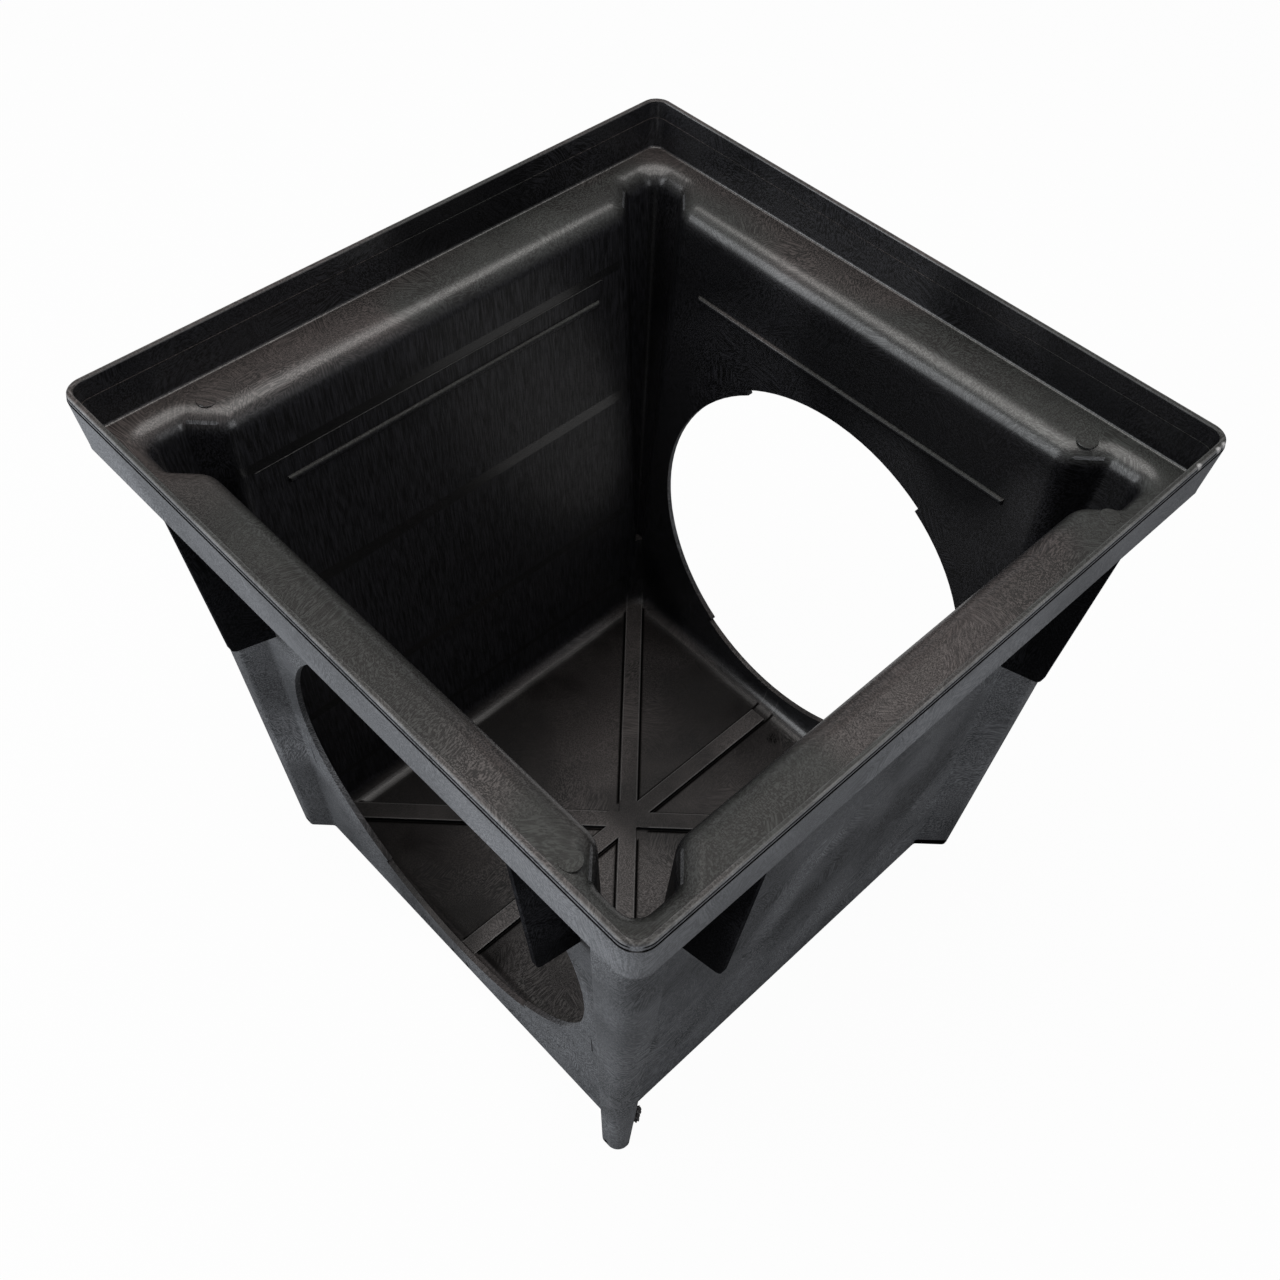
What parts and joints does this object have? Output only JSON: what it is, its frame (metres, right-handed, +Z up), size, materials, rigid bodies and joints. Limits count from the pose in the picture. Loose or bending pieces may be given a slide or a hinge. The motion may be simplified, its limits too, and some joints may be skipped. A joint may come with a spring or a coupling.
{
  "type": "catch basin",
  "caption": "Square moulded drain basin, open at the top, with a recessed grate seat, hollow corner columns, stiffening plates and facing round pipe openings.",
  "frame": {"origin": "middle of the footprint, on the plane the basin stands on", "axes": "+Z up through the open top; the round pipe openings face -Y and +Y, the closed walls face -X and +X"},
  "size_m": [0.622, 0.622, 0.595],
  "materials": {
    "body": "black structural-foam plastic with faint swirl streaks and worn edges"
  },
  "bodies": {
    "root": {"basin": "body"}
  },
  "joints": []
}
